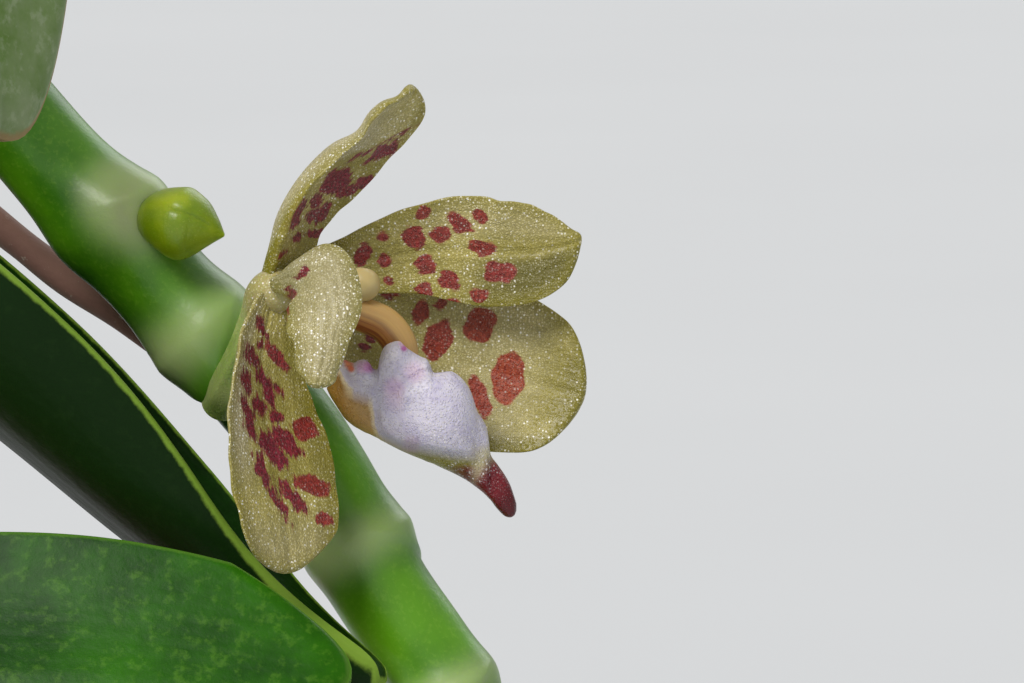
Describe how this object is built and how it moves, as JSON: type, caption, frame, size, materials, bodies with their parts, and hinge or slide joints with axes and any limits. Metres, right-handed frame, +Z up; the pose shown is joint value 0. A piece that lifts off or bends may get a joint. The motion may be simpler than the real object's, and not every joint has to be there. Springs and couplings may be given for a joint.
{
  "type": "potted orchid",
  "caption": "Small potted orchid with strap leaves and a thick green flower stalk that bears a spotted straw-yellow flower with a white spurred lip, in a plain clay pot of bark.",
  "frame": {"origin": "centre of the pot's flat base", "axes": "+Z up, +X towards the side that the flower stalk arches to, +Y away from the viewer"},
  "size_m": [0.1256, 0.076, 0.1439],
  "materials": {
    "clay": "matt unglazed terracotta",
    "bark": "rough dry bark",
    "stem_green": "satin plant skin with papery sheaths",
    "leaf_green": "satin fleshy leaf",
    "root_grey": "matt spongy root skin",
    "rachis_green": "satin fleshy stalk",
    "bud_green": "satin bud",
    "tepal_straw": "waxy and sparkling, with crimson to brick-red spots",
    "column_tan": "waxy",
    "anther_cream": "waxy",
    "lip_white": "sparkling white with a crimson spur"
  },
  "bodies": {
    "root": {"pot": "clay", "bark_medium": "bark", "stem": "stem_green", "root_front": "root_grey", "root_back": "root_grey", "root_aerial": "root_grey", "leaf_a": "leaf_green", "leaf_b": "leaf_green", "leaf_c": "leaf_green", "leaf_d": "leaf_green", "leaf_e": "leaf_green", "leaf_f": "leaf_green", "leaf_g": "leaf_green", "rachis": "rachis_green", "pedicel_ovary": "rachis_green", "bud_side": "bud_green", "bud_low": "bud_green", "bud_tip": "bud_green", "sepal_dorsal": "tepal_straw", "sepal_near": "tepal_straw", "sepal_far": "tepal_straw", "petal_near": "tepal_straw", "petal_far": "tepal_straw", "column": "column_tan", "anther_cap": "anther_cream", "lip": "lip_white"}
  },
  "joints": []
}
